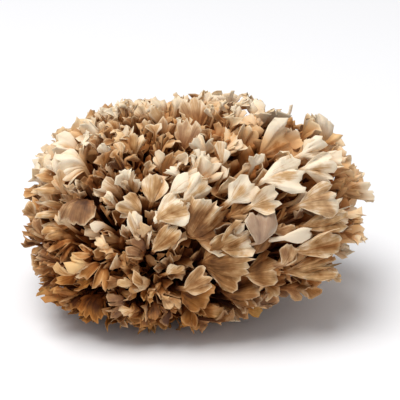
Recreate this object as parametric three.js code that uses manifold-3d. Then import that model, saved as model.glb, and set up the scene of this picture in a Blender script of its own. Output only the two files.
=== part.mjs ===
// A maitake (hen of the woods) fruiting body, whole, standing on the face where it was cut from its log.
// A squat base forks into branches, and each branch ends in a tuft of thin fan-shaped caps. The caps'
// margins make up a wide, low crown that leans to +X. Millimetres, +Z up, origin at the cut face's centre.
import * as THREE from "three";
import { mergeVertices } from "three/addons/utils/BufferGeometryUtils.js";
import Module from "manifold-3d";

const wasm = await Module();
wasm.setup();

// ---- driving dimensions ----
const CROWN_SIZE = new THREE.Vector3(164, 116, 98); // the crown's envelope: width, depth, height
const CROWN_CENTRE = new THREE.Vector3(28, 4, 49); // from the cut face's centre
const CROWN_SWING = 2; // degrees about +Z, which carries the +X end back
const CROWN_SQUARENESS = { above: 2.3, below: 3.6 }; // exponents of the envelope: 2 is an ellipsoid
const CROWN_UNDERCUT = 0.5; // how much the envelope is cut back under its +X end
const FORK = new THREE.Vector3(0, 0, 20); // where all branches start, inside the base
const GAP = 0.3; // clearance between neighbouring pieces

const BASE_PROFILE = [ // radius and height of the base, from the middle of its cut face to its top
  [0, 0], [17, 0], [20, 5], [23.5, 16], [24, 25], [17, 33], [0, 36],
];
const BASE_SIDES = 14;
const BASE_LUMPS = 0.07; // share by which the base's radius swells and shrinks round it

const TUFT_RINGS = [ // rings of tufts from the top down; polar is measured from straight up
  { name: "crown", count: 3, polar: 17 },
  { name: "upper", count: 6, polar: 42 },
  { name: "middle", count: 9, polar: 67 },
  { name: "lower", count: 10, polar: 91 },
  { name: "skirt", count: 10, polar: 114 },
  { name: "hem", count: 8, polar: 140 },
];
const POLAR_SCATTER = 7; // degrees
const TURN_SCATTER = 0.45; // share of the spacing in a ring
const REACH = { least: 0.93, most: 1.03 }; // how far a tuft reaches, as a share of the envelope

const STEM = { root: 5.2, neck: 3.4, share: 0.5 }; // radii, and where the caps part from the stem
const CAPS = [ // a tuft's caps, placed by shares of its spread; the first one ends the stem
  { sideways: 0.1, upwards: 0.55, roll: 8, arch: 0.2, neck: 3.4, hemHeight: 1 },
  { sideways: -0.65, upwards: -0.25, roll: -24, arch: 0.08, neck: 2.2, hemHeight: 0 },
  { sideways: 0.65, upwards: -0.45, roll: 26, arch: 0.04, neck: 2.2, hemHeight: 0 },
];
const SPREAD = 0.2; // radius of a tuft at the crown's surface, as a share of its length
const CAP_WIDTH = { shortest: 24, longest: 35 }; // on the shortest and the longest tufts
const TUFT_LENGTH = { shortest: 45, longest: 110 };
const CAP = { thick: 2.4, edge: 1.5, rounding: 0.3, cup: 0.28 };

const HEM_SINK = -1.5; // the lowest margins' height before the ground flattens them

const FLESH = { base: 0xe6dcc6, crown: 0xc9a87c, hem: 0xa9825a };

// ---- small helpers ----
const radians = THREE.MathUtils.degToRad;
const mix = THREE.MathUtils.lerp;
const ease = (x, a, b) => THREE.MathUtils.smoothstep(x, a, b);

// A repeatable number from 0 to 1 for item i and use k.
function vary(i, k) {
  const s = Math.sin(i * 127.1 + k * 311.7 + 17.3) * 43758.5453;
  return s - Math.floor(s);
}

// A closed body through sections, each a loop of points: one face's row, then the other's row back.
function loft(sections) {
  const n = sections[0].length;
  const index = [];
  sections.slice(1).forEach((_, i) => {
    for (let j = 0; j < n; j++) {
      const [a, b] = [i * n + j, i * n + ((j + 1) % n)];
      index.push(a, a + n, b, b, a + n, b + n);
    }
  });
  const last = (sections.length - 1) * n;
  for (let j = 0; j < n / 2 - 1; j++) {
    const [a, b, c, d] = [j, j + 1, n - 2 - j, n - 1 - j];
    index.push(a, b, c, a, c, d);
    index.push(last + a, last + c, last + b, last + a, last + d, last + c);
  }
  const geometry = new THREE.BufferGeometry().setFromPoints(sections.flat());
  return geometry.setIndex(index);
}

function toSolid(geometry) {
  const plain = new THREE.BufferGeometry().setAttribute("position", geometry.getAttribute("position"));
  if (geometry.index) plain.setIndex(geometry.index);
  const merged = mergeVertices(plain, 1e-4);
  const all = merged.index.array;
  const triVerts = [];
  for (let i = 0; i < all.length; i += 3) {
    const [a, b, c] = all.slice(i, i + 3);
    if (a !== b && b !== c && a !== c) triVerts.push(a, b, c);
  }
  const made = new wasm.Manifold(new wasm.Mesh({
    numProp: 3,
    vertProperties: merged.attributes.position.array,
    triVerts: new Uint32Array(triVerts),
  }));
  if (made.volume() < 0) throw new Error("a body is inside out");
  return made;
}

function toGeometry(solid) {
  const { vertProperties, triVerts } = solid.getMesh();
  const geometry = new THREE.BufferGeometry();
  geometry.setAttribute("position", new THREE.BufferAttribute(vertProperties, 3));
  geometry.setIndex(new THREE.BufferAttribute(triVerts, 1));
  geometry.computeVertexNormals();
  return geometry;
}

// ---- the base ----
function baseGeometry(grow = 0) {
  const profile = BASE_PROFILE.map(([r, z]) => new THREE.Vector2(r && r + grow, z > 0 ? z + grow : z));
  const lathe = new THREE.LatheGeometry(profile, BASE_SIDES);
  lathe.rotateX(Math.PI / 2);
  const at = lathe.getAttribute("position");
  for (let i = 0; i < at.count; i++) {
    const turn = Math.atan2(at.getY(i), at.getX(i));
    const swell = 1 + BASE_LUMPS * (Math.sin(3 * turn + 0.6) + 0.5 * Math.sin(5 * turn + 2));
    at.setXYZ(i, at.getX(i) * swell, at.getY(i) * swell, at.getZ(i));
  }
  return lathe;
}

// ---- the layout of the tufts ----
// The point of the crown's envelope at a polar angle and a turn about +Z, both in degrees.
function crownPoint(polar, turn, reach) {
  const way = new THREE.Vector3().setFromSphericalCoords(1, radians(polar), 0);
  way.set(way.z, 0, way.y).applyAxisAngle(new THREE.Vector3(0, 0, 1), radians(turn));
  const p = way.z > 0 ? CROWN_SQUARENESS.above : CROWN_SQUARENESS.below;
  const size = (Math.abs(way.x) ** p + Math.abs(way.y) ** p + Math.abs(way.z) ** p) ** (-1 / p);
  const cutBack = 1 - CROWN_UNDERCUT * Math.max(0, way.x) * Math.max(0, -way.z);
  return way.multiplyScalar(size * cutBack * reach)
    .multiply(CROWN_SIZE).multiplyScalar(0.5)
    .applyAxisAngle(new THREE.Vector3(0, 0, 1), radians(CROWN_SWING))
    .add(CROWN_CENTRE);
}

function tuftLayout() {
  const tufts = [];
  TUFT_RINGS.forEach(({ name, count, polar }, ring) => {
    for (let k = 0; k < count; k++) {
      const i = tufts.length;
      const turn = (360 / count) * (k + 0.5 * ring + TURN_SCATTER * (vary(i, 1) - 0.5));
      const tilt = polar + POLAR_SCATTER * (2 * vary(i, 2) - 1);
      const reach = mix(REACH.least, REACH.most, vary(i, 3));
      const tip = crownPoint(tilt, turn, reach);
      const axis = tip.clone().sub(FORK);
      const length = axis.length();
      axis.normalize();
      const side = new THREE.Vector3(-Math.sin(radians(turn)), Math.cos(radians(turn)), 0);
      side.addScaledVector(axis, -side.dot(axis)).normalize();
      const rise = axis.clone().cross(side);
      tufts.push({ name: `${name}_tuft_${k + 1}`, i, tip, axis, length, side, rise, hem: name === "hem" });
    }
  });
  return tufts;
}

// ---- caps and stems ----
const ACROSS = [-1, -0.4, 0.4, 1];

// One section of a stem or cap: halfWidth wide, thick in the middle, edge thick at its two sides.
// bow carries the sides back along the curve, and cup lifts them off it.
function section(curve, t, side, { halfWidth, thick, edge, bow, cup }) {
  const row = (face) => ACROSS.map((v) => {
    const at = Math.max(0, t - bow * v * v);
    const along = curve.getTangent(at);
    const across = side.clone().addScaledVector(along, -side.dot(along)).normalize();
    const out = along.clone().cross(across);
    const half = 0.5 * mix(edge, thick, Math.sqrt(1 - 0.95 * v * v));
    return curve.getPoint(at)
      .addScaledVector(across, halfWidth * v)
      .addScaledVector(out, cup * v * v + face * half);
  });
  return [...row(1), ...row(-1).reverse()];
}

// A cap's centreline from its root to the middle of its margin. It arches up and out, and droops at its end.
function capCurve({ i, tip, axis, length, side, rise, hem }, cap, k) {
  const root = FORK.clone().addScaledVector(axis, STEM.share * length * mix(0.86, 1, vary(i, 10 + k)));
  const end = tip.clone()
    .addScaledVector(side, SPREAD * length * cap.sideways)
    .addScaledVector(rise, SPREAD * length * cap.upwards);
  if (hem) end.z = cap.hemHeight * tip.z + HEM_SINK;
  const across = side.clone().applyAxisAngle(axis, radians(cap.roll + 24 * (vary(i, 20 + k) - 0.5)));
  const middle = root.clone().lerp(end, 0.5)
    .addScaledVector(axis.clone().cross(across), root.distanceTo(end) * cap.arch);
  return { curve: new THREE.QuadraticBezierCurve3(root, middle, end), across };
}

function capSections(tuft, cap, k) {
  const { curve, across } = capCurve(tuft, cap, k);
  const { shortest, longest } = TUFT_LENGTH;
  const size = ease(tuft.length, shortest, longest);
  const widest = mix(CAP_WIDTH.shortest, CAP_WIDTH.longest, size) * mix(0.9, 1.1, vary(tuft.i, 30 + k));
  const cupped = vary(tuft.i, 40 + k) > 0.35 ? 1 : -0.6;
  return [0, 0.4, 0.7, 1].map((t) => {
    const open = ease(t, 0.15, 0.85);
    const halfWidth = mix(cap.neck, widest / 2, open);
    return section(curve, t, across, {
      halfWidth,
      thick: mix(1.6 * cap.neck, CAP.thick, open),
      edge: mix(0.9 * cap.neck, CAP.edge, open),
      bow: CAP.rounding * open * t,
      cup: CAP.cup * halfWidth * open * cupped,
    });
  });
}

// The stem from inside the base to where the caps part, whose last section is the first cap's own root.
function stemSections({ axis, length, side, rise }, neck) {
  const middle = FORK.clone().lerp(neck, 0.5).addScaledVector(rise, 0.03 * length);
  const curve = new THREE.QuadraticBezierCurve3(FORK, middle, neck);
  return [0.3, 0.7].map((t) => {
    const r = mix(STEM.root, STEM.neck, t);
    return section(curve, t, side, { halfWidth: r, thick: 1.8 * r, edge: 0.9 * r, bow: 0, cup: 0 });
  });
}

function tuftSolid(tuft) {
  const [first, ...others] = CAPS.map((cap, k) => capSections(tuft, cap, k));
  const neck = capCurve(tuft, CAPS[0], 0).curve.v0;
  const stemmed = toSolid(loft([...stemSections(tuft, neck), ...first]));
  return others.reduce((whole, sections) => whole.add(toSolid(loft(sections))), stemmed);
}

// Keeps a tuft on its own side of the half-way plane to each neighbour, above the ground and off the base.
function cutToPlace(solid, tuft, tufts, baseCutter) {
  let cut = solid;
  for (const other of tufts) {
    if (other === tuft) continue;
    const normal = tuft.axis.clone().sub(other.axis).normalize();
    cut = cut.trimByPlane(normal.toArray(), FORK.dot(normal) + GAP / 2);
  }
  cut = cut.trimByPlane([0, 0, 1], 0).subtract(baseCutter);
  return cut.decompose().reduce((a, b) => (a.volume() > b.volume() ? a : b));
}

function build() {
  const group = new THREE.Group();
  const add = (name, solid, color) => {
    const material = new THREE.MeshStandardMaterial({ color, roughness: 0.85, metalness: 0 });
    const mesh = new THREE.Mesh(toGeometry(solid), material);
    mesh.name = name;
    group.add(mesh);
  };
  add("base", toSolid(baseGeometry()).trimByPlane([0, 0, 1], 0), FLESH.base);
  const baseCutter = toSolid(baseGeometry(GAP));
  const tufts = tuftLayout();
  for (const tuft of tufts) {
    const place = cutToPlace(tuftSolid(tuft), tuft, tufts, baseCutter);
    add(tuft.name, place, tuft.hem ? FLESH.hem : FLESH.crown);
  }
  return group;
}

export default build();
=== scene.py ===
"""A maitake mushroom, with some 1,600 thin, ruffled, fan-shaped caps on branching stems.

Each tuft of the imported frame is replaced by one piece, of branching stems with their fans, and the base
by another. Lengths are in millimetres, and the meshes in metres. Directions are unit vectors from the
fork, where all tufts start, and +Z is up.
"""

import functools
import math

import bpy
import numpy as np
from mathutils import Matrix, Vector


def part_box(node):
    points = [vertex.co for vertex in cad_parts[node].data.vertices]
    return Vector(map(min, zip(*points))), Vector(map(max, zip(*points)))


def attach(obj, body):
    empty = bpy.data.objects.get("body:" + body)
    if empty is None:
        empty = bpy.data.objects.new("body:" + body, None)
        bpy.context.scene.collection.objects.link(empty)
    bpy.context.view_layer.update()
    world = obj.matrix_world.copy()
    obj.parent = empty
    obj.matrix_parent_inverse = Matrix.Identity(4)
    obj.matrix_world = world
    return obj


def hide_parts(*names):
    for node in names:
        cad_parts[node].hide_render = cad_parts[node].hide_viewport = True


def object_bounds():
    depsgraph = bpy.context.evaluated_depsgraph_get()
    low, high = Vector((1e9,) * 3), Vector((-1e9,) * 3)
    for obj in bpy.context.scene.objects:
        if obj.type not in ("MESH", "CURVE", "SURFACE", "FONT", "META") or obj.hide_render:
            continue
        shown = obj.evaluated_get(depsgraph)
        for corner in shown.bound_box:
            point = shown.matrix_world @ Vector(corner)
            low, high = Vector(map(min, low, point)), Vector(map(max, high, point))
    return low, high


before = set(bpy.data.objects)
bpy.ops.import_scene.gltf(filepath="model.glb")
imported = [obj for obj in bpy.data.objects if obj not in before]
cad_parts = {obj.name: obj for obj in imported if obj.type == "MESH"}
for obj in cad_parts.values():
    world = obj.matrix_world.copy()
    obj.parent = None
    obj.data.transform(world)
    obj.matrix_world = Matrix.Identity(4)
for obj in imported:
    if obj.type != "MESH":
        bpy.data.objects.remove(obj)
CAD_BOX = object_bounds()
MM = 0.001
UP = np.array([0, 0, 1.0])
TURN = 2 * math.pi

# ---- the crown, as in the frame ----
CROWN_HALF = np.array([82.0, 58.0, 49.0])  # half the envelope's width, depth and height
CROWN_CENTRE = np.array([28.0, 4.0, 49.0])
CROWN_SWING = 2.0  # degrees about UP, which carries the +X end back
SQUARE_ABOVE, SQUARE_BELOW = 2.3, 3.6  # exponents of the envelope: 2 is an ellipsoid
CROWN_UNDERCUT = 0.5  # how much the envelope is cut back under its +X end
FORK = np.array([0.0, 0.0, 20.0])  # where all tufts start

# ---- where the fans are ----
# Layers of fans: their least and most reach as shares of the crown's, their shares of the width and of
# the room that the parts give, and the places tried. Those with one least reach keep off each other.
LAYERS = [
    (0.91, 1.05, 1.0, 1.1, 16000),
    (0.91, 1.04, 0.5, 0.95, 1500),
    (0.82, 0.90, 1.0, 1.5, 6000),
    (0.72, 0.80, 1.2, 2.0, 1500),
]
OUTER_REACH = 0.95  # with less, a fan is an inner one: darker with painted shade, coarser and more upright
SIZE_SPREAD, LEAST_SIZE = 0.4, 0.7  # how much fans' widths vary, and the least share of their part's
LOWEST_WAY, LOWEST_TIP = -0.45, 1.5  # the Z of the lowest direction tried, and of the lowest tip in mm
VALLEY_DEPTH = 0.16  # how much less fans reach between tufts
VALLEY_WIDTH = 8.0  # degrees
MOST_LEVEL = 1.05  # no fan stands further out of the crown's envelope than this
STRETCH = 0.25  # how much of a fan's blade others' tips keep off, as a share of its width

# ---- which way the fans point ----
# The crown opens like a flower, and fans bend away from the middle of the open side.
OPEN_TURN, OPEN_POLAR = 280, 73  # degrees, of that middle
OPEN_EDGE = (80, 125)  # degrees from there over which fans stop doing so, and bend down instead
LEAN_AT_OPEN, LEAN_AT_EDGE = 68, 108  # degrees that a fan leans over
LEAST_LEAN, FAR_LEAN = 15.0, 50.0
INNER_UPRIGHT = 1.5  # how much less the inner fans lean
LEAN_SPREAD = 20  # degrees
SWING_SPREAD = 0.7  # radians
NEAR_GROUND, STEEPEST_DROP = 10, -0.1  # below this height in mm, tips point down no more than this

# The fans of each part of the crown, which blend into each other. turn, about +Z from +X, and polar,
# from straight up, are of the part's middle in degrees. Then a fan's width, the room between tips as a
# share of it, half the angle of its blade, how far it ruffles, its lobes, how deep they are creased, how
# far its sides are raised, how far it leans, and its tone, from below 0 for pale cream to 1 for dark
# brown, with amber and grey.
PART_KEYS = "turn polar width room spread ruffle lobes crease cup lean tone amber grey".split()
PARTS = np.array([
    # pale ruffles on the left
    (195, 36, 15, 0.50, 46, 2.4, 4, 0.10, 0.1, 1.6, -0.25, 0.0, 0.0),
    (160, 30, 14, 0.50, 44, 2.2, 4, 0.12, 0.1, 1.6, -0.25, 0.0, 0.0),
    (120, 20, 9, 0.44, 44, 2.0, 3, 0.12, 0.2, 1.0, 0.00, 0.1, 0.0),
    # a tangle of small frills round the top, with round fans and pale frills behind it
    (230, 14, 7, 0.42, 44, 2.2, 3, 0.12, 0.3, 0.9, 0.10, 0.3, 0.0),
    (20, 16, 12, 0.44, 42, 0.8, 3, 0.05, 0.2, 0.8, -0.06, 0.1, 0.2),
    (25, 35, 12, 0.46, 42, 1.8, 4, 0.12, 0.1, 1.4, -0.45, 0.0, 0.0),
    # smooth shells, pale frills and smooth pale fans on the right
    (0, 50, 19, 0.46, 40, 0.8, 3, 0.05, 0.4, 1.3, -0.40, 0.0, 0.0),
    (355, 62, 13, 0.44, 36, 1.5, 4, 0.15, 0.1, 1.0, -0.25, 0.0, 0.0),
    (335, 52, 18, 0.46, 40, 0.8, 3, 0.05, 0.2, 1.1, -0.12, 0.0, 0.1),
    # small curled fans over the front, and a brown band above them
    (285, 42, 12, 0.46, 42, 1.2, 3, 0.08, -0.1, 1.0, 0.16, 0.1, 0.0),
    (312, 40, 13, 0.46, 42, 1.1, 3, 0.08, -0.2, 1.0, 0.04, 0.0, 0.1),
    (280, 28, 8, 0.42, 44, 1.8, 3, 0.10, 0.2, 1.0, 0.18, 0.2, 0.1),
    (325, 28, 8, 0.42, 44, 2.0, 3, 0.12, 0.2, 1.0, 0.02, 0.1, 0.1),
    # smooth streaked fans on the left
    (220, 50, 10, 0.60, 19, 0.8, 3, 0.20, 0.2, 1.15, 0.42, 0.3, 0.2),
    (188, 66, 12, 0.50, 34, 1.4, 4, 0.15, 0.1, 1.0, 0.48, 0.5, 0.0),
    (252, 47, 10, 0.52, 23, 0.9, 3, 0.20, 0.2, 1.0, 0.30, 0.3, 0.1),
    # antlers low on the left and in front
    (230, 68, 11, 0.62, 18, 1.0, 4, 0.45, 0.2, 1.1, 0.42, 0.6, 0.0),
    (270, 68, 12, 0.50, 24, 0.9, 4, 0.40, 0.2, 0.9, 0.14, 0.6, 0.0),
    # broad streaked fans
    (302, 58, 17, 0.44, 38, 1.1, 3, 0.06, 0.1, 1.0, 0.20, 0.1, 0.1),
    (308, 75, 17, 0.44, 38, 1.2, 4, 0.08, 0.0, 1.0, 0.36, 0.2, 0.1),
    # feathery fans at the right end, and a dip in front of them whose dark tone is painted shade
    (345, 75, 13, 0.46, 22, 1.0, 4, 0.25, 0.3, 0.8, 0.28, 0.2, 0.1),
    (325, 66, 10, 0.50, 24, 1.0, 3, 0.15, 0.3, 0.7, 0.60, 0.1, 0.1),
    # shingled fans low on the right, dark amber fans low on the left, and an amber hem: their dark tone
    # and amber are partly their own colour, partly painted shade and painted warm bounce light
    (322, 86, 15, 0.44, 38, 1.2, 4, 0.10, -0.2, 1.0, 0.50, 0.3, 0.1),
    (235, 92, 11, 0.60, 20, 1.1, 4, 0.40, 0.1, 0.9, 0.80, 1.0, 0.0),
    (285, 97, 13, 0.46, 34, 1.3, 4, 0.20, 0.1, 0.9, 0.60, 1.0, 0.0),
    # the back, from the right end round to the left
    (40, 85, 17, 0.48, 34, 1.2, 4, 0.12, 0.1, 1.0, 0.36, 0.3, 0.1),
    (60, 45, 15, 0.48, 40, 1.4, 4, 0.10, 0.1, 1.2, 0.04, 0.1, 0.1),
    (90, 75, 17, 0.48, 36, 1.2, 4, 0.10, 0.1, 1.0, 0.34, 0.2, 0.1),
    (130, 45, 14, 0.48, 40, 1.6, 4, 0.12, 0.1, 1.2, 0.06, 0.1, 0.0),
    (150, 90, 15, 0.48, 34, 1.2, 4, 0.16, 0.1, 1.0, 0.44, 0.4, 0.1),
], float)
PART_REACH = 15.0  # degrees over which a part's character fades
PART_FLOOR = 1e-6  # a part's least weight, so that places far from all parts have some

# ---- the fans that stand out ----
# They are laid first and kept clear of others. turn and polar are of the tip, and dial is the way it
# points, clockwise from the top as seen from the open side.
NOTED_KEYS = "turn polar dial spread width ruffle lobes crease cup tone amber grey".split()
NOTED_FANS = [
    # two round fans upright at the top
    (20, 17, 0, 42, 14, 0.3, 3, 0.04, 0.2, 0.26, 0.1, 0.3),
    (325, 18, 15, 42, 12, 0.3, 2, 0.03, 0.2, 0.32, 0.1, 0.5),
    # a shell and other pale fans on the right, with a bowl among them
    (355, 46, 63, 32, 20, 0.4, 2, 0.03, 0.5, -0.10, 0.0, 0.0),
    (350, 54, 85, 40, 14, 1.6, 4, 0.12, 0.1, -0.08, 0.0, 0.0),
    (345, 58, 95, 40, 15, 1.5, 4, 0.12, 0.1, 0.00, 0.0, 0.0),
    (335, 53, 85, 36, 17, 0.4, 2, 0.03, -0.2, 0.00, 0.0, 0.0),
    (338, 63, 90, 30, 16, 0.6, 3, 0.08, 0.1, 0.14, 0.0, 0.2),
    (324, 55, 75, 52, 13, 0.3, 2, 0.02, 0.7, 0.14, 0.1, 0.0),
    # a smooth grey fan, and the broadest two beside it
    (317, 56, 5, 32, 15, 0.3, 2, 0.02, 0.1, 0.20, 0.0, 1.0),
    (306, 51, 46, 45, 30, 0.7, 5, 0.05, 0.0, 0.16, 0.0, 0.1),
    (312, 71, 95, 46, 27, 0.7, 5, 0.06, 0.1, 0.24, 0.1, 0.0),
    # smaller fans round those two
    (313, 62, 68, 36, 16, 0.5, 3, 0.06, 0.1, 0.22, 0.1, 0.0),
    (287, 53, 52, 22, 10, 0.4, 2, 0.05, 0.2, 0.28, 0.1, 0.0),
    (267, 46, 350, 24, 8, 0.5, 2, 0.05, 0.2, 0.14, 0.1, 0.0),
    (328, 68, 92, 24, 8, 0.3, 1, 0.02, -0.2, -0.10, 0.0, 0.3),
    # shingled fans low on the right
    (321, 76, 85, 36, 15, 0.8, 3, 0.10, -0.1, 0.38, 0.1, 0.0),
    (318, 83, 80, 34, 18, 0.8, 3, 0.10, -0.2, 0.50, 0.2, 0.0),
    (299, 73, 60, 34, 12, 0.6, 3, 0.08, 0.1, 0.28, 0.2, 0.0),
    # small pale fans over the front
    (292, 46, 70, 36, 15, 0.6, 3, 0.06, -0.2, 0.18, 0.0, 0.0),
    (297, 38, 55, 30, 9, 0.4, 2, 0.04, -0.1, 0.12, 0.0, 0.0),
    (278, 34, 10, 40, 12, 0.8, 3, 0.08, -0.2, 0.26, 0.1, 0.0),
    (258, 42, 300, 40, 12, 0.8, 3, 0.08, -0.1, 0.28, 0.1, 0.0),
    (304, 42, 60, 36, 13, 0.6, 3, 0.08, -0.5, 0.06, 0.0, 0.0),
    (319, 47, 50, 44, 14, 0.4, 2, 0.04, 0.1, 0.08, 0.0, 0.0),
    # ruffles on the left
    (208, 37, 265, 46, 18, 2.2, 4, 0.12, 0.1, -0.28, 0.0, 0.0),
    (182, 37, 275, 46, 16, 2.0, 4, 0.12, 0.1, -0.28, 0.0, 0.0),
    (178, 28, 290, 46, 15, 2.0, 4, 0.12, 0.1, -0.22, 0.0, 0.0),
    # streaked fans on the left
    (238, 52, 190, 25, 16, 0.4, 3, 0.08, 0.3, 0.44, 0.1, 0.3),
    (200, 45, 280, 22, 14, 0.8, 3, 0.15, 0.2, 0.24, 0.2, 0.0),
    # antlers, and the hem, whose dark tone and amber are partly its own colour, partly painted shade and
    # painted warm bounce light
    (212, 58, 262, 28, 17, 0.9, 4, 0.40, 0.2, 0.24, 0.2, 0.0),
    (222, 68, 240, 28, 17, 0.9, 4, 0.40, 0.2, 0.30, 0.4, 0.0),
    (247, 77, 210, 28, 13, 0.8, 3, 0.30, 0.2, 0.42, 0.6, 0.0),
    (243, 97, 190, 34, 17, 0.8, 4, 0.20, 0.1, 0.50, 1.0, 0.0),
    (300, 85, 110, 34, 16, 0.6, 3, 0.08, 0.1, 0.50, 0.7, 0.0),
    # feathers at the right end
    (340, 68, 80, 20, 14, 0.8, 3, 0.25, 0.2, 0.18, 0.1, 0.0),
    (337, 73, 82, 20, 13, 0.8, 3, 0.25, 0.2, 0.24, 0.1, 0.0),
    (335, 79, 85, 20, 14, 0.8, 3, 0.25, 0.2, 0.34, 0.1, 0.0),
]
NOTED_REACH = 1.05  # as a share of the crown's
NOTED_MOST_LEVEL = 1.06
NOTED_LEAN, NOTED_LEAN_SPREAD = 83.0, 6  # degrees between the ways that it points and faces
NOTED_TURN = 0.8  # how far it faces the way that it grows, against 1 for the open side
NOTED_SWING_SPREAD = 0.2  # radians
NOTED_STRETCH, NOTED_MOST_STRETCH = 0.6, 1.1  # as STRETCH: more for less spread, up to the second
NOTED_ROOM = 0.45  # the least that others' tips keep off it, as a share of its width
NOTED_CHANCE = 0.2  # how much of other fans' random colour it takes

rng = np.random.default_rng(9)


# ---- small helpers ----
def unit(v):
    return v / np.maximum(np.linalg.norm(v, axis=-1, keepdims=True), 1e-9)


def mix(a, b, t):
    return a + (b - a) * t


def ease(x, a, b):
    """0 up to a, 1 from b on, and a smooth slope between."""
    t = np.clip((x - a) / (b - a), 0, 1)
    return t * t * (3 - 2 * t)


def turned(v, axis, angle):
    """v turned about a unit axis by an angle in radians."""
    c, s = np.cos(angle), np.sin(angle)
    return v * c + np.cross(axis, v) * s + axis * (v @ axis)[..., None] * (1 - c)


def direction(turn, polar):
    turn, polar = math.radians(turn), math.radians(polar)
    flat = math.sin(polar)
    return np.array([flat * math.cos(turn), flat * math.sin(turn), math.cos(polar)])


def apart(a, b):
    """The angle between unit vectors, in degrees."""
    return np.degrees(np.arccos(np.clip(a @ b, -1, 1)))


def away_from(way, d):
    """The unit vector across d that leads away from way."""
    return unit(d * (way @ d) - way)


def crown_level(points):
    """0 at the crown's centre, 1 on its surface."""
    at = turned(points - CROWN_CENTRE, UP, -math.radians(CROWN_SWING)) / CROWN_HALF
    way = unit(at)
    cut_back = 1 - CROWN_UNDERCUT * np.maximum(0, way[..., 0]) * np.maximum(0, -way[..., 2])
    power = np.where(at[..., 2] > 0, SQUARE_ABOVE, SQUARE_BELOW)
    return (np.abs(at) ** power[..., None]).sum(-1) ** (1 / power) / cut_back


def reach_of_crown(d):
    """How far the crown's surface is from the fork along the unit direction d."""
    nearest, furthest, steps = 5, 180, 400
    t = np.linspace(nearest, furthest, steps)
    level = crown_level(FORK + d * t[:, None])
    return float(np.interp(1.0, level, t))


OPEN_WAY = direction(OPEN_TURN, OPEN_POLAR)
OPEN_UP = unit(UP - OPEN_WAY * (OPEN_WAY @ UP))
OPEN_RIGHT = np.cross(OPEN_UP, OPEN_WAY)
PART_WAYS = np.array([direction(*p[:2]) for p in PARTS])


def character(d):
    """The fans' character in direction d, blended from the parts of the crown near it."""
    weight = np.exp(-((apart(PART_WAYS, d) / PART_REACH) ** 2)) + PART_FLOOR
    return dict(zip(PART_KEYS, weight @ PARTS / weight.sum()))


# ---- a fan's mesh ----
ROOT_PULL, TIP_PULL, NOTED_TIP_PULL = 0.40, 0.45, 0.65  # of a fan's curve, as shares of its span
CURVE_STEPS = 20  # to measure its length
STEM_ROWS = 3
BLADE_ROWS = (5, 12)  # the fewest and the most
ROWS_PER_MM, COLUMNS_PER_MM, SPARE_LINES = 0.3, 0.85, 4  # of the grid, for a fan's width
LINES_PER_LOBE = 2  # at least
LOBE_WIDTH = 4  # mm, so small fans have few lobes
LOBE_COUNT_SPREAD, LOBE_SHARES = 0.8, (0.5, 1.5)
CREASE_SPREAD, DEEPEST_CREASE = 0.6, 0.55  # the second as a share of the blade's length
SIDE_CREASE = (0.20, 0.50)  # the same, at its two sides
LIFT_SLOPE = 0.10  # between two lobes' heights, to each side
BLADE_TO_FAN = 0.85  # the most of a fan that is blade
ROW_CROWDING = 1.4  # rows of the blade crowd together towards the margin
STEM_TAPER = 0.3
WAVE_PARTS = (0.6, 1), (0.4, 0.53), (0.3, 1.9)  # sizes and rates of what makes an uneven wave
# Two waves of the margin: swings for each mm of width, and their height in mm and for each mm of width.
MARGIN_WAVES = (0.35, 0.25, 0.035), (0.15, 0.5, 0.02)
MARGIN_NOISE = 0.1  # mm
CUP_DROP = 0.3  # how far a cupped blade's middle sinks
PLEAT_HEIGHT, SMALL_PLEATS = 0.07, 0.25  # for each unit of ruffle and mm of width, and a share of that
PLEAT_WIDTH, SMALL_PLEAT_WIDTH, CRISP_WIDTH = 9, 4.5, 4  # mm of a fan's width for each swing
FLUTTERS = 1.6  # swings
EDGE_WIDTH = 0.3  # of what curls and crisps, as a share of the fan's width
CRISP_GAIN = 1.3
RIDGE_NOISE, RIDGE_HEIGHT, RIDGE_FADE = 0.06, 0.12, 1.5  # mm
RIDGES_PER_MM = 0.5
DENTS, DENT_LENGTH = 3, (5, 10)  # waves that make dents, and their length in mm
STEM_THICKNESS, STEM_ROUND = 1.5, 0.92  # its thickness as a share of half its width, and how round
STEM_END = 0.6  # how far out on the blade its thickness goes
MARGIN_THIN = 0.7  # what is left of a blade's thickness at its far end
THIN_EDGE, THIN_WIDTH = 0.4, 3.0  # the same at its margin, and how far in that goes in mm
RIM_BULGE = 0.4  # as a share of the thickness


class Centreline:
    """A cubic curve from p0 along d0 to p1, where it runs along d1 for about flat of its length."""

    def __init__(self, p0, d0, p1, d1, flat):
        span = np.linalg.norm(p1 - p0)
        self.points = np.array([p0, p0 + d0 * span * ROOT_PULL, p1 - d1 * span * flat, p1])
        t = np.linspace(0, 1, CURVE_STEPS)
        self.length = np.linalg.norm(np.diff(self.at(t), axis=0), axis=1).sum()

    def at(self, s):
        s = np.asarray(s)[..., None]
        a, b, c, d = self.points
        r = 1 - s
        return a * r**3 + b * 3 * s * r**2 + c * 3 * s**2 * r + d * s**3

    def along(self, s):
        s = np.clip(np.asarray(s), 0, 1)[..., None]
        a, b, c, d = self.points
        r = 1 - s
        return unit((b - a) * 3 * r**2 + (c - b) * 6 * s * r + (d - c) * 3 * s**2)


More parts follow.
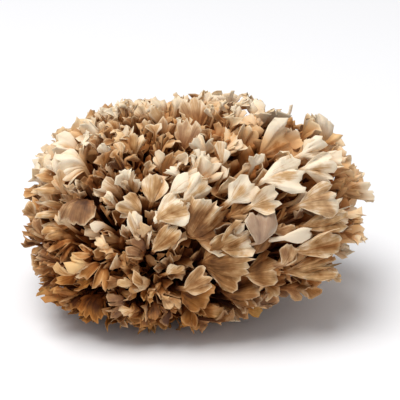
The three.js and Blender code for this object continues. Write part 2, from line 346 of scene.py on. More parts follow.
@functools.lru_cache(maxsize=None)
def fan_topology(rows, columns):
    """The faces of a fan, from two grids, a rounded rim and a closed root, and its outline."""
    n = rows * columns
    top = np.arange(n).reshape(rows, columns)
    bottom = top + n
    border = [(r, 0) for r in range(rows)]
    border += [(rows - 1, c) for c in range(1, columns - 1)]
    border += [(r, columns - 1) for r in reversed(range(rows))]
    rim = 2 * n + np.arange(len(border))
    faces = []
    for r in range(rows - 1):
        for c in range(columns - 1):
            faces.append((top[r, c], top[r + 1, c], top[r + 1, c + 1], top[r, c + 1]))
            faces.append((bottom[r, c], bottom[r, c + 1], bottom[r + 1, c + 1], bottom[r + 1, c]))
    for i in range(len(border) - 1):
        a, b = border[i], border[i + 1]
        faces.append((top[a], rim[i], rim[i + 1], top[b]))
        faces.append((rim[i], bottom[a], bottom[b], rim[i + 1]))
    for c in range(columns - 1):
        faces.append((top[0, c + 1], bottom[0, c + 1], bottom[0, c], top[0, c]))
    faces.append((top[0, 0], bottom[0, 0], rim[0]))
    faces.append((top[0, -1], rim[-1], bottom[0, -1]))
    return [tuple(int(i) for i in face) for face in faces], np.array(border)


def waves(x, count):
    """A wave over x from -1 to 1 with about count swings, never quite regular."""
    phases = rng.uniform(0, TURN, len(WAVE_PARTS))
    swing = math.pi * count * x
    return sum(size * np.sin(swing * rate + phase) for (size, rate), phase in zip(WAVE_PARTS, phases))


def crumple(x, y):
    """Small dents in a fan, between -1 and 1, at x across and y along it."""
    total = 0
    for _ in range(DENTS):
        heading, phase = rng.uniform(0, TURN, 2)
        swell = TURN / rng.uniform(*DENT_LENGTH)
        total = total + np.sin((x * math.cos(heading) + y * math.sin(heading)) * swell + phase) / DENTS
    return total


class Lobes:
    """The rounded lobes of a fan's margin, and the grid's columns, which crowd together at creases."""

    def __init__(self, count, crease, columns_wanted, lift):
        count = max(1, int(rng.normal(count, LOBE_COUNT_SPREAD) + 0.5))
        shares = rng.uniform(*LOBE_SHARES, count)
        self.bounds = np.concatenate([[0], shares.cumsum()]) / shares.sum() * 2 - 1
        self.depths = crease * rng.lognormal(0, CREASE_SPREAD, count + 1)
        self.depths[[0, -1]] = rng.uniform(*SIDE_CREASE, 2)
        self.depths = np.minimum(self.depths, DEEPEST_CREASE)
        self.lifts = rng.normal(0, lift, count)
        columns = []
        for low, high in zip(self.bounds, self.bounds[1:]):
            n = max(LINES_PER_LOBE, round((high - low) / 2 * columns_wanted))
            columns.append(low + (high - low) * (0.5 - 0.5 * np.cos(np.pi * np.arange(n) / n)))
        self.columns = np.append(np.concatenate(columns), 1.0)[None, :]

    def drop(self, v):
        """How far the margin falls short at v, from -1 to 1 across the blade, for its length."""
        lobe = np.clip(np.searchsorted(self.bounds, v, side="right") - 1, 0, len(self.bounds) - 2)
        low, high = self.bounds[lobe], self.bounds[lobe + 1]
        r = (v - low) / (high - low) * 2 - 1
        depth = np.where(r < 0, self.depths[lobe], self.depths[lobe + 1])
        return depth * (1 - np.sqrt(np.clip(1 - r**2, 0, 1)))

    def lift(self, v):
        """How far the lobe at v is raised, with a short slope between neighbours."""
        total = self.lifts[0] + 0 * v
        for at, before, after in zip(self.bounds[1:-1], self.lifts, self.lifts[1:]):
            total = total + (after - before) * ease(v, at - LIFT_SLOPE, at + LIFT_SLOPE)
        return total


class FlatFan:
    """A fan laid flat as a grid: a stem, then a sector of a circle with a lobed, ragged margin.

    v is each column's place, from -1 to 1, and blade each row's on the blade, from 0 to 1. x is across,
    y along, out the distance from the sector's apex and margin that to the margin, all in mm.
    """

    def __init__(self, length, width, neck, look):
        detail = look["detail"]
        columns_wanted = detail * (width * COLUMNS_PER_MM + SPARE_LINES)
        lobe_count = min(look["lobes"], width / LOBE_WIDTH)
        self.lobes = Lobes(lobe_count, look["crease"], columns_wanted, look["lift"])
        self.v = v = self.lobes.columns
        blade_rows = int(np.clip(detail * (width * ROWS_PER_MM + SPARE_LINES), *BLADE_ROWS))
        self.rows = blade_rows + STEM_ROWS
        self.faces, border = fan_topology(self.rows, v.size)
        self.border = tuple(border.T)

        spread = look["spread"]
        self.radius = min(width / 2 / math.sin(spread) * look["long"], BLADE_TO_FAN * length)
        start = neck / math.sin(spread)
        over_blade = 1 - (1 - np.linspace(0, 1, blade_rows)) ** ROW_CROWDING
        self.blade = np.concatenate([np.zeros(STEM_ROWS), over_blade])[:, None]
        over_stem = np.linspace(0, 1, STEM_ROWS, endpoint=False)
        stem = np.concatenate([over_stem, np.ones(blade_rows)])[:, None]
        self.angle = spread * (v + look["slant"] * (1 - v**2))
        ragged = 0
        for rate, least, gain in MARGIN_WAVES:
            ragged = ragged + waves(v, width * rate) * (least + gain * width)
        ragged = ragged + rng.normal(0, MARGIN_NOISE, v.shape)
        reach = self.radius * (1 - self.lobes.drop(v)) + ragged
        self.out = start + (reach - start) * self.blade
        bend = look["bend"] * length * (stem + self.blade) ** 2 / 4
        self.x = self.out * np.sin(self.angle) * stem**STEM_TAPER + bend
        self.y = (length - self.radius + self.out * np.cos(self.angle)) * stem
        flat = np.stack([self.x, self.y], -1)
        outline = flat[self.border][STEM_ROWS:-STEM_ROWS]
        self.margin = np.linalg.norm(flat[:, :, None] - outline, axis=-1).min(-1)


def relief(flat, width, look):
    """How far each point of a fan stands off its middle surface, in mm."""
    v, blade = flat.v, flat.blade
    half = flat.out * math.sin(look["spread"]) * blade
    z = look["cup"] * half * (v**2 - CUP_DROP)
    z = z + flat.lobes.lift(v) * width * blade**1.5
    pleats = waves(v, 0.7 + width / PLEAT_WIDTH)
    pleats = pleats + SMALL_PLEATS * waves(v, 1 + width / SMALL_PLEAT_WIDTH)
    z = z + look["ruffle"] * PLEAT_HEIGHT * width * pleats * blade**1.2
    near_margin = ease(1 - flat.margin / (EDGE_WIDTH * width), 0, 1) ** 2 * blade
    z = z - (look["curl"] + look["flutter"] * waves(v, FLUTTERS)) * width * near_margin
    z = z + waves(v, 1 + width / CRISP_WIDTH) * look["crisp"] * CRISP_GAIN * near_margin
    ridges = rng.normal(0, RIDGE_NOISE, v.shape) + waves(v, width * RIDGES_PER_MM) * RIDGE_HEIGHT
    z = z + ridges * blade * np.minimum(1, flat.margin / RIDGE_FADE)
    return z + look["crumple"] * crumple(flat.x, flat.y) * blade


def thickness(flat, neck, look):
    """A fan's thickness at each point in mm: a round stem, and a blade that thins outwards."""
    round_stem = np.sqrt(1 - STEM_ROUND * flat.v**2)
    opened = ease(flat.blade, 0, STEM_END)
    thick = mix(neck * STEM_THICKNESS, look["thin"], opened) * mix(round_stem, 1.0, opened)
    thick = thick * mix(1.0, MARGIN_THIN, flat.blade)
    return thick * mix(THIN_EDGE, 1.0, ease(flat.margin, 0, THIN_WIDTH))


def fan_points(line, side, width, neck, look):
    """A fan's faces and points, and for each point how far across, along and in from the margin it is,
    and its face: 1 on top, 0 beneath and a half on the rim.
    """
    flat = FlatFan(line.length, width, neck, look)
    s = flat.y / line.length
    along = line.along(s)
    across = unit(side - along * (along @ side)[..., None])
    lift = np.cross(along, across)
    twist = (look["twist"] * flat.blade)[..., None]
    c, d = np.cos(twist), np.sin(twist)
    across, lift = across * c + lift * d, lift * c - across * d
    middle = line.at(s) + across * flat.x[..., None] + lift * relief(flat, width, look)[..., None]

    thick = thickness(flat, neck, look)
    normal = unit(np.cross(np.gradient(middle, axis=0), np.gradient(middle, axis=1)))
    top = middle + normal * (thick / 2)[..., None]
    bottom = middle - normal * (thick / 2)[..., None]
    border = flat.border
    inner = (np.minimum(border[0], flat.rows - 2), np.clip(border[1], 1, flat.v.size - 2))
    outwards = unit(middle[border] - middle[inner])
    rim = middle[border] + outwards * thick[border][:, None] * RIM_BULGE
    points = np.concatenate([top.reshape(-1, 3), bottom.reshape(-1, 3), rim])

    place = np.stack([flat.angle * flat.radius + 0 * s, flat.y, flat.margin], -1)
    places = np.concatenate([place.reshape(-1, 3), place.reshape(-1, 3), place[border]])
    n = flat.rows * flat.v.size
    face = np.concatenate([np.ones(n), np.zeros(n), np.full(len(rim), 0.5)])
    return flat.faces, points, places, face


# ---- stems ----
TUBE_SIDES = 10
TUBE_LEAN = np.array([0.31, 0.17, 0.93])  # a direction that no stem runs along
TUBE_UNEVEN = 0.10
STEM_POINTS = 7
STEM_LOOK = (0.0, 1.0, 0.0, 0.3)  # beneath, far from a margin, at the root where the painted shade is deepest, a little brown
STEM_TINT = (0.2, 0.1)  # amber and grey
PATTERN_SPREAD = 500  # mm that places are shifted at most, so that patterns differ


def tube(points, radii):
    """A closed, slightly uneven tube along points, with its vertices and faces."""
    points = np.asarray(points)
    along = unit(np.gradient(points, axis=0))
    side = unit(np.cross(along, TUBE_LEAN))
    lift = np.cross(along, side)
    a = np.arange(TUBE_SIDES) / TUBE_SIDES * TURN
    n = len(points)
    uneven = 1 + TUBE_UNEVEN * rng.normal(0, 1, (n, TUBE_SIDES)).cumsum(0) / n**0.5
    ring = side[:, None] * np.cos(a)[None, :, None] + lift[:, None] * np.sin(a)[None, :, None]
    verts = points[:, None] + ring * (np.asarray(radii)[:, None] * uneven)[..., None]
    return verts.reshape(-1, 3), tube_faces(n, TUBE_SIDES)


def tube_faces(rings, sides):
    """The faces of a stack of rings, closed at both ends."""
    faces = []
    for r in range(rings - 1):
        for c in range(sides):
            d = (c + 1) % sides
            faces.append((r * sides + c, r * sides + d, (r + 1) * sides + d, (r + 1) * sides + c))
    faces.append(tuple(reversed(range(sides))))
    faces.append(tuple((rings - 1) * sides + c for c in range(sides)))
    return faces


def curve_points(p0, p1, sag):
    """Points from p0 to p1 along a curve that leaves the straight line by sag in the middle."""
    t = np.linspace(0, 1, STEM_POINTS)[:, None]
    return mix(p0, p1, t) + sag * (4 * t * (1 - t))


class Body:
    """Collects the parts of one piece's mesh, with what its material reads at each vertex.

    place is where the pattern is read, in mm. look is the face, the distance from the margin in cm, the
    place along the fan from 0 to 1, and the tone. The third attribute holds amber, grey and the crown's
    level, which sets the painted shade deep in the crown.
    """

    def __init__(self):
        self.points, self.faces, self.place, self.look, self.tint_and_shade = [], [], [], [], []
        self.count = 0

    def add(self, points, faces, place, look, tint_and_shade):
        self.points.append(points)
        self.faces += [tuple(i + self.count for i in f) for f in faces]
        self.place.append(place)
        self.look.append(look)
        self.tint_and_shade.append(tint_and_shade)
        self.count += len(points)

    def add_stem(self, points, radii):
        verts, faces = tube(points, radii)
        n = len(verts)
        place = verts + rng.uniform(-PATTERN_SPREAD, PATTERN_SPREAD, 3)
        # the crown's level sets the painted shade on the stems
        tint_and_shade = np.column_stack([np.tile(STEM_TINT, (n, 1)), crown_level(verts), np.ones(n)])
        self.add(verts, faces, place, np.tile(STEM_LOOK, (n, 1)), tint_and_shade)

    def make(self, name, material):
        """The piece as an object, with nothing of it below the ground."""
        points = np.concatenate(self.points)
        points[:, 2] = np.maximum(points[:, 2], 0.0)
        mesh = bpy.data.meshes.new(name)
        mesh.from_pydata((points * MM).tolist(), [], self.faces)
        for label, kind, field, data in (
            ("place", "FLOAT_VECTOR", "vector", self.place),
            ("look", "FLOAT_COLOR", "color", self.look),
            ("tint_and_shade", "FLOAT_COLOR", "color", self.tint_and_shade),
        ):
            layer = mesh.attributes.new(label, kind, "POINT")
            layer.data.foreach_set(field, np.concatenate(data).astype(np.float32).ravel())
        mesh.polygons.foreach_set("use_smooth", [True] * len(mesh.polygons))
        mesh.materials.append(material)
        mesh.update()
        made = bpy.data.objects.new(name, mesh)
        bpy.context.scene.collection.objects.link(made)
        return made


# ---- laying the fans out ----
class Tip:
    """One fan's place: where its tip is, which way that points, its side, tuft and character."""

    def __init__(self, way, like, width, reach, tufts):
        angles = apart(np.array([tuft.axis for tuft in tufts]), way)
        nearest, next_nearest = np.argsort(angles)[:2]
        self.way, self.like, self.width = way, like, width
        self.noted = "dial" in like
        self.tuft = tufts[nearest]
        out_of_valley = ease(angles[next_nearest] - angles[nearest], 0, VALLEY_WIDTH)
        valley = 1 - VALLEY_DEPTH * (1 - out_of_valley)
        share = 1 if self.noted else valley * self.tuft.reach
        self.at = FORK + way * reach_of_crown(way) * reach * share
        self.depth = max(0.0, OUTER_REACH - reach)

    def point(self):
        """Settles the way the tip points, and the fan's side, so that its top faces out."""
        way = self.way
        from_open = float(apart(way, OPEN_WAY))
        opening = 1 - float(ease(from_open, *OPEN_EDGE))
        heading = unit(away_from(UP, way) * (1 - opening) + away_from(OPEN_WAY, way) * opening + 1e-6)
        heading = turned(heading, way, rng.normal(0, SWING_SPREAD))
        lean = FAR_LEAN
        if opening > 0:
            lean = mix(LEAN_AT_OPEN, LEAN_AT_EDGE, min(from_open / 90, 1)) - from_open * opening
            lean = max(LEAST_LEAN, lean)
        lean = lean * self.like["lean"] * (1 - INNER_UPRIGHT * self.depth)
        lean = math.radians(lean + rng.normal(0, LEAN_SPREAD))
        self.end = way * math.cos(lean) + heading * math.sin(lean)
        if self.at[2] < NEAR_GROUND:
            self.end = unit(np.array([self.end[0], self.end[1], max(self.end[2], STEEPEST_DROP)]))
        self.side = turned(unit(np.cross(way, heading)), self.end, rng.normal(0, SWING_SPREAD))

    def point_as_noted(self):
        """Settles the same for a noted fan, as its row says."""
        dial = math.radians(self.like["dial"])
        lean = math.radians(NOTED_LEAN + rng.normal(0, NOTED_LEAN_SPREAD))
        facing = unit(OPEN_WAY + self.way * NOTED_TURN)
        heading = OPEN_UP * math.cos(dial) + OPEN_RIGHT * math.sin(dial)
        heading = unit(heading - facing * (heading @ facing))
        self.end = facing * math.cos(lean) + heading * math.sin(lean)
        self.side = turned(unit(np.cross(facing, heading)), self.end, rng.normal(0, NOTED_SWING_SPREAD))


class Layout:
    """The tips laid so far, each of which keeps others off itself and off a stretch of its blade."""

    def __init__(self):
        self.tips = []
        self.at, self.end = np.zeros((0, 3)), np.zeros((0, 3))
        self.width, self.stretch, self.own_room = np.zeros(0), np.zeros(0), np.zeros(0)

    def is_clear(self, tip, room):
        off = tip.at - self.at
        back = np.clip((off * self.end).sum(-1), -self.stretch, 0)
        gap = np.linalg.norm(off - self.end * back[:, None], axis=1)
        return (gap > np.maximum(room * (self.width + tip.width) / 2, self.own_room)).all()

    def add(self, tip, stretch, own_room=0.0):
        """Adds a tip. Its stretch and own room are shares of its width."""
        self.tips.append(tip)
        self.at, self.end = np.vstack([self.at, tip.at]), np.vstack([self.end, tip.end])
        self.width = np.append(self.width, tip.width)
        self.stretch = np.append(self.stretch, stretch * tip.width)
        self.own_room = np.append(self.own_room, own_room * tip.width)


def noted_tips(layout, tufts):
    for row in NOTED_FANS:
        like = dict(zip(NOTED_KEYS, row))
        tip = Tip(direction(like["turn"], like["polar"]), like, like["width"], NOTED_REACH, tufts)
        tip.point_as_noted()
        stretch = min(NOTED_MOST_STRETCH, NOTED_STRETCH / math.sin(math.radians(like["spread"])))
        layout.add(tip, stretch, NOTED_ROOM)


def scatter_tips(layout, layer, tufts):
    """Adds tips at random over one layer of the crown, with the room that their part gives."""
    least, most, width_share, room_share, tries = layer
    for way in unit(rng.normal(0, 1, (tries, 3))):
        if way[2] < LOWEST_WAY:
            continue
        like = character(way)
        width = like["width"] * max(LEAST_SIZE, rng.lognormal(0, SIZE_SPREAD)) * width_share
        tip = Tip(way, like, width, rng.uniform(least, most), tufts)
        if tip.at[2] < LOWEST_TIP or not layout.is_clear(tip, like["room"] * room_share):
            continue
        tip.point()
        layout.add(tip, STRETCH)


# ---- the tufts ----
FANS_PER_BRANCH = 3
AXIS_FROM = 0.8  # a tuft's axis is through its points beyond this share of its length
TUFT_REACH = (0.94, 1.03)
TUFT_TONE_SPREAD, TUFT_AMBER_SPREAD = 0.10, 0.15
TRUNK_SHARE, TRUNK_SWAY, TRUNK_RADII = 0.34, 1.5, (7.5, 4.5)  # a share of the tuft's length, then mm
BRANCH_STARTS, BRANCH_ENDS = (0.18, 0.30), (0.50, 0.60)  # as shares of the way out
BRANCH_SAG, BRANCH_RADII = 0.5, (4.2, 2.2)
ROOT_PLACES = (0.7, 0.98)  # where fans root, as a share of their branch
ROOT_TURN = 0.6  # how far a fan starts turned from its branch's direction to its tip's
NECK, NECK_PER_MM, NECK_SPREAD = 0.5, 0.06, (0.8, 1.2)  # half its width: mm, and mm per mm of fan
INNER_COARSENESS = 3.5  # how much coarser inner fans' grids are
FAN_TONE_SPREAD, FAN_TINT_SPREAD = 0.16, 0.2
LEAST_TONE = -0.3
MARGIN_SCALE = 10  # mm for the material's margin of 1


class Tuft:
    """A tuft's place, read from its node in the frame."""

    def __init__(self, node):
        points = np.array([v.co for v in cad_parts[node].data.vertices]) / MM
        out = points - FORK
        far = np.linalg.norm(out, axis=1)
        self.node = node
        self.axis = unit(out[far > AXIS_FROM * far.max()].mean(0))
        self.length = far.max()
        self.side = unit(np.cross(UP, self.axis))
        self.rise = np.cross(self.axis, self.side)
        self.reach = rng.uniform(*TUFT_REACH)
        self.tone, self.amber = rng.normal(0, TUFT_TONE_SPREAD), rng.normal(0, TUFT_AMBER_SPREAD)
        self.tips = []

    def branches(self):
        """The tips in small groups of neighbours, one group for each branch."""
        around = [math.atan2(tip.way @ self.rise, tip.way @ self.side) for tip in self.tips]
        order = [self.tips[i] for i in np.argsort(around)]
        return [order[i:i + FANS_PER_BRANCH] for i in range(0, len(order), FANS_PER_BRANCH)]


NOTED_RUFFLE, NOTED_SLANT_SPREAD, NOTED_LONG = 1.8, 0.1, 1.25  # in place of other fans'
CUP_SCALE = 0.8


def fan_look(like):
    """One fan's own shape, drawn from its part's character. Where no unit is told, sizes are shares."""
    return {
        "lobes": like["lobes"],
        "crease": like["crease"],
        "lift": 0.08,  # how far lobes are raised or sunk
        "spread": math.radians(like["spread"] * rng.uniform(0.85, 1.45)),
        "slant": rng.normal(0, 0.25),  # how far the middle is turned aside
        "ruffle": like["ruffle"] * rng.uniform(0.8, 2.0),
        "cup": like["cup"] * CUP_SCALE + rng.normal(0, 0.25),
        "curl": rng.uniform(-0.12, 0.20),  # how far the margin turns down
        "flutter": rng.uniform(0.0, 0.16),  # how much that changes along the margin
        "crisp": rng.uniform(0.4, 1.6),  # mm, of small waves along the margin
        "crumple": rng.uniform(0.5, 1.8),  # mm, of dents all over
        "bend": rng.normal(0, 0.08),  # how far the tip swings aside
        "long": 1.0,  # how long the blade is, for its width
        "twist": rng.normal(0, 0.3),  # radians from the neck to the margin
        "thin": rng.uniform(0.6, 1.0),  # mm
    }


def noted_look(like):
    """A noted fan's shape, most of which its row tells."""
    told = {
        "ruffle": like["ruffle"] * NOTED_RUFFLE,
        "cup": like["cup"] * CUP_SCALE,
        "spread": math.radians(like["spread"]),
        "twist": 0.0,
        "bend": 0.0,
        "slant": rng.normal(0, NOTED_SLANT_SPREAD),
        "long": NOTED_LONG,
    }
    return fan_look(like) | told


def add_fan(body, tip, root, root_way):
    """Adds one fan, from its root on a branch to its tip, to the tuft's body."""
    like = tip.like
    start_way = unit(mix(root_way, unit(tip.at - root), ROOT_TURN))
    line = Centreline(root, start_way, tip.at, tip.end, NOTED_TIP_PULL if tip.noted else TIP_PULL)
    look = noted_look(like) if tip.noted else fan_look(like)
    look["detail"] = 1 - INNER_COARSENESS * tip.depth
    neck = rng.uniform(*NECK_SPREAD) * (NECK + NECK_PER_MM * tip.width)
    faces, points, places, face = fan_points(line, tip.side, tip.width, neck, look)
    growth = places[:, 1] / line.length
    excess = max(0.0, crown_level(points).max() - (NOTED_MOST_LEVEL if tip.noted else MOST_LEVEL))
    points = points - (growth**2 * excess)[:, None] * (tip.at - CROWN_CENTRE)

    n = len(points)
    shift = rng.uniform(-PATTERN_SPREAD, PATTERN_SPREAD, 2)
    place = np.stack([places[:, 0] + shift[0], places[:, 1] + shift[1], np.full(n, shift[0])], -1)
    chance = NOTED_CHANCE if tip.noted else 1.0
    # an inner fan's depth darkens its tone: painted shade
    tone = like["tone"] + chance * (tip.tuft.tone + rng.normal(0, FAN_TONE_SPREAD)) + tip.depth
    amber = np.clip(like["amber"] + chance * (tip.tuft.amber + rng.normal(0, FAN_TINT_SPREAD)), 0, 1)
    grey = np.clip(like["grey"] + chance * rng.normal(0, FAN_TINT_SPREAD), 0, 1)
    tones = np.full(n, np.clip(tone, LEAST_TONE, 1))
    look_values = np.stack([face, np.clip(places[:, 2] / MARGIN_SCALE, 0, 1), growth, tones], -1)
    # the crown's level sets the painted shade deep in the crown
    tint_and_shade = np.stack([np.full(n, amber), np.full(n, grey), crown_level(points), np.ones(n)], -1)
    body.add(points, faces, place, look_values, tint_and_shade)


def build_tuft(tuft, material):
    body = Body()
    trunk = FORK + tuft.axis * tuft.length * TRUNK_SHARE
    sway = tuft.side * rng.normal(0, TRUNK_SWAY) + tuft.rise * rng.normal(0, TRUNK_SWAY)
    body.add_stem(curve_points(FORK, trunk, sway), np.linspace(*TRUNK_RADII, STEM_POINTS))
    for tips in tuft.branches():
        middle = np.mean([tip.at for tip in tips], axis=0)
        end = mix(FORK, middle, rng.uniform(*BRANCH_ENDS))
        start = FORK + tuft.axis * tuft.length * rng.uniform(*BRANCH_STARTS)
        sag = unit(start - end) * BRANCH_SAG
        body.add_stem(curve_points(start, end, sag), np.linspace(*BRANCH_RADII, STEM_POINTS))
        for tip in tips:
            root = mix(start, end, rng.uniform(*ROOT_PLACES))
            add_fan(body, tip, root, unit(end - start))
    made = body.make("fans_" + tuft.node, material)
    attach(made, "root")
    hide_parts(tuft.node)


def build_crown(material):
    """All tufts, after each fan's tip is given to the tuft whose axis is nearest."""
    tufts = [Tuft(node) for node in sorted(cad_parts) if node != "base"]
    layouts = {layer[0]: Layout() for layer in LAYERS}
    noted_tips(layouts[LAYERS[0][0]], tufts)
    for layer in LAYERS:
        scatter_tips(layouts[layer[0]], layer, tufts)
    for tip in (tip for layout in layouts.values() for tip in layout.tips):
        tip.tuft.tips.append(tip)
    for tuft in tufts:
        build_tuft(tuft, material)


# ---- the base ----
BASE_ROWS, BASE_SIDES = 26, 64
BASE_PROFILE = np.array([  # shares of the base's radius and height, from its cut face up
    (0.0, 0.0), (0.70, 0.0), (0.82, 0.06), (0.95, 0.35),
    (0.98, 0.62), (0.80, 0.86), (0.45, 0.97), (0.0, 1.0),
])
BASE_LUMPS = (3, 0.035, 0.6), (5, 0.02, 2)  # how many, their share of the radius, and phase
BASE_ROUGHNESS = 0.012  # as a share of the radius
BASE_SHADE_LEVEL = 0.9  # of the crown, for the painted shade deep in it


def build_base(material):
    """The squat stalk under the fans, with its cut face on the ground."""
    low, high = (np.array(c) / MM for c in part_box("base"))
    radius, height = (high - low)[0] / 2, high[2]
    keys = np.linspace(0, 1, len(BASE_PROFILE))
    t = np.linspace(0, 1, BASE_ROWS)
    r = np.interp(t, keys, BASE_PROFILE[:, 0]) * radius
    z = np.interp(t, keys, BASE_PROFILE[:, 1]) * height
    a = np.arange(BASE_SIDES) / BASE_SIDES * TURN
    lumps = 1 + sum(size * np.sin(count * a + phase) for count, size, phase in BASE_LUMPS)
    rings = []
    for i in range(BASE_ROWS):
        rough = 1 + BASE_ROUGHNESS * rng.normal(0, 1, BASE_SIDES)
        ring = np.stack([np.cos(a), np.sin(a)], -1) * (r[i] * lumps * rough)[:, None]
        rings.append(np.column_stack([ring, np.full(BASE_SIDES, z[i])]))
    rings = rings[1:-1]
    verts = np.concatenate(rings)
    n = len(verts)
    body = Body()
    tint_and_shade = np.tile([*STEM_TINT, BASE_SHADE_LEVEL, 1.0], (n, 1))
    body.add(verts, tube_faces(len(rings), BASE_SIDES), verts, np.tile(STEM_LOOK, (n, 1)), tint_and_shade)
    made = body.make("stalk_base", material)
    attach(made, "root")
    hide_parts("base")


# ---- shader nodes ----
MIX_COLOURS, MIX_RESULT = (6, 7), 2  # a Mix node's sockets for colours, whose names others share


def node(tree, kind, inputs=None, **settings):
    """A shader node, with each input a value or the socket that feeds it."""
    made = tree.nodes.new(kind)
    for name, value in settings.items():
        setattr(made, name, value)
    for name, value in (inputs or {}).items():
        if isinstance(value, bpy.types.NodeSocket):
            tree.links.new(value, made.inputs[name])
        else:
            made.inputs[name].default_value = value
    return made


def ramp(tree, fac, stops):
    """The colour that fac gives among stops, which are places and colours."""
    made = tree.nodes.new("ShaderNodeValToRGB")
    tree.links.new(fac, made.inputs["Fac"])
    ends = made.color_ramp.elements
    while len(ends) < len(stops):
        ends.new(0.5)
    for element, (at, colour) in zip(ends, stops):
        element.position = at
        element.color = (*colour, 1)
    return made.outputs["Color"]


def math_node(tree, operation, a, b, clamp=False):
    made = tree.nodes.new("ShaderNodeMath")
    made.operation = operation
    made.use_clamp = clamp
    for i, value in enumerate((a, b)):
        if isinstance(value, bpy.types.NodeSocket):
            tree.links.new(value, made.inputs[i])
        else:
            made.inputs[i].default_value = value
    return made.outputs[0]


def blend_colour(tree, fac, a, b, kind="MIX"):
    """Colour a where fac is 0 and b where it is 1, or another blend."""
    made = tree.nodes.new("ShaderNodeMix")
    made.data_type = "RGBA"
    made.blend_type = kind
    sockets = [made.inputs["Factor"]] + [made.inputs[i] for i in MIX_COLOURS]
    for socket, value in zip(sockets, (fac, a, b)):
        if isinstance(value, bpy.types.NodeSocket):
            tree.links.new(value, socket)
        elif isinstance(value, tuple):
            socket.default_value = (*value, 1)
        else:
            socket.default_value = value
    return made.outputs[MIX_RESULT]


def srgb(r, g, b):
    """A colour given as 0 to 255 display values, as the linear values that shaders take."""
    return tuple((c / 255 / 12.92) if c <= 10 else ((c / 255 + 0.055) / 1.055) ** 2.4 for c in (r, g, b))


# ---- the flesh ----
# How often its patterns change for each mm, which streaks seldom do along a fan.
FINE_STREAKS, BROAD_STREAKS = (1.7, 0.10, 1.0), (0.55, 0.05, 1.0)
FINE_SHARE, BROAD_SHARE = 0.7, 0.3
PATCHES, SPECKS = 0.16, 2.2

# How much it is darkened by tone, patches, painted shade that grows with the distance from the tip, and
# the distance from the margin.
BY_TONE, BY_PATCHES, BY_ROOT_SHADE, BY_INSET = 1.45, 1.2, 0.5, 0.7
ROOT_SHADE_FROM, INSET_FROM = 0.95, 0.26  # where the last two are 0: a share of the fan's length, and cm

GREY_STRENGTH, UNDER_AMBER, RIM_STRENGTH = 0.7, 0.6, 0.42
RIM_SPECKS, RIM_PATCHES = 0.10, 0.16  # how far these move the pale rim's inner edge, in cm

ROUGHNESS, SPECK_ROUGHNESS = 0.65, 0.25
BUMP_SPECKS = 0.5  # the specks' share of the bumps
SHINE = {
    "Specular IOR Level": 0.2,
    "Subsurface Weight": 0.06,
    "Subsurface Radius": (1.0, 0.6, 0.35),
    "Subsurface Scale": 0.0012,  # metres
}


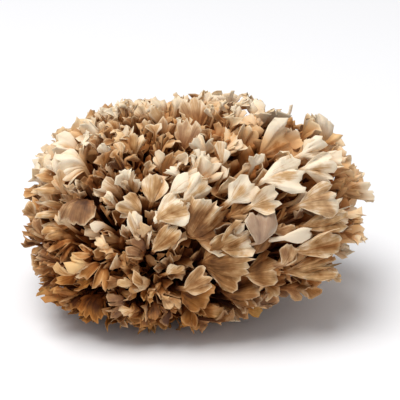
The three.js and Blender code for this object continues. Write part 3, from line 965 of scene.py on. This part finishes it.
def make_flesh():
    """The material of all pieces: streaked, with a pale rim, and painted shade that darkens it deep in
    the crown.
    """
    material = bpy.data.materials.new("maitake_flesh")
    material.use_nodes = True
    tree = material.node_tree
    shader = tree.nodes["Principled BSDF"]

    def minus(a, b):
        return math_node(tree, "SUBTRACT", a, b)

    def plus(a, b, clamp=False):
        return math_node(tree, "ADD", a, b, clamp)

    def times(a, b):
        return math_node(tree, "MULTIPLY", a, b)

    def noise(place, scale, detail, **more):
        inputs = {"Vector": place, "Scale": scale, "Detail": detail, **more}
        return node(tree, "ShaderNodeTexNoise", inputs).outputs["Fac"]

    def stretched(place, scale):
        return node(tree, "ShaderNodeMapping", {"Vector": place, "Scale": scale}).outputs[0]

    def channels(name):
        read = node(tree, "ShaderNodeAttribute", attribute_name=name).outputs
        parts = node(tree, "ShaderNodeSeparateColor", {"Color": read["Color"]}).outputs
        return parts["Red"], parts["Green"], parts["Blue"], read["Alpha"]

    # What Body writes at each vertex.
    place = node(tree, "ShaderNodeAttribute", attribute_name="place").outputs["Vector"]
    face, margin, growth, tone = channels("look")
    amber, grey, level, _ = channels("tint_and_shade")

    fine = noise(stretched(place, FINE_STREAKS), scale=1.0, detail=4.0, Roughness=0.65)
    broad = noise(stretched(place, BROAD_STREAKS), scale=1.0, detail=2.0)
    streaks = plus(times(fine, FINE_SHARE), times(broad, BROAD_SHARE))
    patches = noise(place, PATCHES, detail=3.0)
    specks = noise(place, SPECKS, detail=2.0)

    # From 0, the palest, to 1, the darkest. A noise's mean is 0.5.
    depth = plus(times(tone, BY_TONE), minus(streaks, 0.5))
    depth = plus(depth, times(minus(patches, 0.5), BY_PATCHES))
    # painted shade: darker towards the fans' roots, down among the other fans
    depth = plus(depth, times(minus(ROOT_SHADE_FROM, growth), BY_ROOT_SHADE))
    depth = plus(depth, times(minus(margin, INSET_FROM), BY_INSET), clamp=True)
    top = ramp(tree, depth, [
        (0.0, srgb(255, 236, 208)),
        (0.28, srgb(214, 172, 122)),
        (0.58, srgb(156, 108, 62)),
        (1.0, srgb(72, 36, 12)),
    ])
    amber_top = ramp(tree, depth, [
        (0.0, srgb(236, 184, 108)),
        (0.4, srgb(184, 116, 46)),
        (1.0, srgb(82, 40, 8)),
    ])
    top = blend_colour(tree, amber, top, amber_top)
    top = blend_colour(tree, times(grey, GREY_STRENGTH), top, srgb(156, 132, 118))
    under = ramp(tree, depth, [
        (0.0, srgb(240, 210, 168)),
        (0.5, srgb(196, 152, 104)),
        (1.0, srgb(122, 84, 50)),
    ])
    under = blend_colour(tree, times(amber, UNDER_AMBER), under, srgb(176, 116, 60))
    colour = blend_colour(tree, face, under, top)

    # The pale rim is about 1 mm wide.
    uneven = plus(times(minus(specks, 0.5), RIM_SPECKS), times(minus(patches, 0.5), RIM_PATCHES))
    stops = [(0.0, (1, 1, 1)), (0.04, (0.7, 0.7, 0.7)), (0.10, (0, 0, 0))]
    rim = ramp(tree, plus(margin, uneven), stops)
    rim_colour = blend_colour(tree, amber, srgb(250, 230, 196), srgb(216, 154, 84))
    colour = blend_colour(tree, times(rim, RIM_STRENGTH), colour, rim_colour)

    # Painted shade: it is darker in from the crown's surface, where the level is 1, for the shade deep
    # among the fans.
    painted_deep_shade = ramp(tree, level, [
        (0.55, srgb(104, 58, 24)),
        (0.8, srgb(172, 118, 68)),
        (0.9, srgb(226, 196, 160)),
        (0.98, (1, 1, 1)),
    ])
    colour = blend_colour(tree, 1.0, colour, painted_deep_shade, "MULTIPLY")
    tree.links.new(colour, shader.inputs["Base Color"])

    tree.links.new(plus(ROUGHNESS, times(specks, SPECK_ROUGHNESS)), shader.inputs["Roughness"])
    for name, value in SHINE.items():
        shader.inputs[name].default_value = value
    height = plus(streaks, times(specks, BUMP_SPECKS))
    bump = node(tree, "ShaderNodeBump", {"Height": height, "Strength": 0.4, "Distance": 0.0003})
    tree.links.new(bump.outputs[0], shader.inputs["Normal"])
    return material


# ---- the studio, in metres ----
FLOOR_RADIUS = 0.6  # beyond it the white background shows
FLOOR_SIDES = 96
FLOOR_COLOUR = srgb(252, 251, 252)
LIT_POINT = (0.03, 0.0, 0.05)  # where the lamps point
SKY_LIGHT, SKY_STRENGTH = (0.96, 0.98, 1.0), 0.42
CAMERA_ELEVATION = 24.0  # degrees
CAMERA_DISTANCE = 0.72
FRAME_WIDTH = 0.190  # of the picture's width at the mushroom


def build_stage():
    around = np.arange(FLOOR_SIDES) / FLOOR_SIDES * TURN
    rim = np.stack([np.cos(around), np.sin(around), 0 * around], -1) * FLOOR_RADIUS
    mesh = bpy.data.meshes.new("floor")
    mesh.from_pydata(rim.tolist(), [], [tuple(range(FLOOR_SIDES))])
    floor = bpy.data.objects.new("floor", mesh)
    bpy.context.scene.collection.objects.link(floor)
    material = bpy.data.materials.new("pale_floor")
    material.use_nodes = True
    shader = material.node_tree.nodes["Principled BSDF"]
    shader.inputs["Base Color"].default_value = (*FLOOR_COLOUR, 1)
    shader.inputs["Roughness"].default_value = 0.9
    shader.inputs["Specular IOR Level"].default_value = 0.0
    mesh.materials.append(material)


def area_light(name, at, size, power):
    data = bpy.data.lights.new(name, "AREA")
    data.shape = "DISK"
    data.size = size
    data.energy = power
    lamp = bpy.data.objects.new(name, data)
    lamp.location = at
    lamp.rotation_euler = (Vector(LIT_POINT) - Vector(at)).to_track_quat("-Z", "Y").to_euler()
    bpy.context.scene.collection.objects.link(lamp)


def build_lights():
    """Two lamps, and a sky that lights softly but is seen as white."""
    area_light("key", at=(-0.40, -0.35, 1.90), size=1.4, power=32)
    area_light("fill", at=(0.4, -2.0, 1.4), size=1.8, power=2)
    world = bpy.data.worlds.new("studio")
    world.use_nodes = True
    tree = world.node_tree
    soft = tree.nodes["Background"]
    soft.inputs["Color"].default_value = (*SKY_LIGHT, 1)
    soft.inputs["Strength"].default_value = SKY_STRENGTH
    seen = node(tree, "ShaderNodeBackground", {"Color": (1, 1, 1, 1), "Strength": 1.0}).outputs[0]
    path = node(tree, "ShaderNodeLightPath").outputs
    rays = math_node(tree, "MAXIMUM", path["Is Camera Ray"], path["Is Glossy Ray"])
    rays = math_node(tree, "MAXIMUM", rays, path["Is Transmission Ray"])
    both = node(tree, "ShaderNodeMixShader", {"Fac": rays})
    tree.links.new(soft.outputs[0], both.inputs[1])
    tree.links.new(seen, both.inputs[2])
    tree.links.new(both.outputs[0], tree.nodes["World Output"].inputs["Surface"])
    bpy.context.scene.world = world


def build_camera():
    """The photo's camera, which looks at the middle of the frame."""
    low, high = (np.array(c) for c in CAD_BOX)
    centre = (low + high) / 2
    e = math.radians(CAMERA_ELEVATION)
    back = np.array([0.0, -math.cos(e), math.sin(e)])
    data = bpy.data.cameras.new("camera")
    data.lens = data.sensor_width * CAMERA_DISTANCE / FRAME_WIDTH
    camera = bpy.data.objects.new("camera", data)
    camera.location = centre + back * CAMERA_DISTANCE
    camera.rotation_euler = Vector(-back).to_track_quat("-Z", "Y").to_euler()
    bpy.context.scene.collection.objects.link(camera)
    bpy.context.scene.camera = camera


build_camera()
build_stage()
build_lights()
bpy.context.scene.view_settings.view_transform = "Standard"
flesh = make_flesh()
build_base(flesh)
build_crown(flesh)
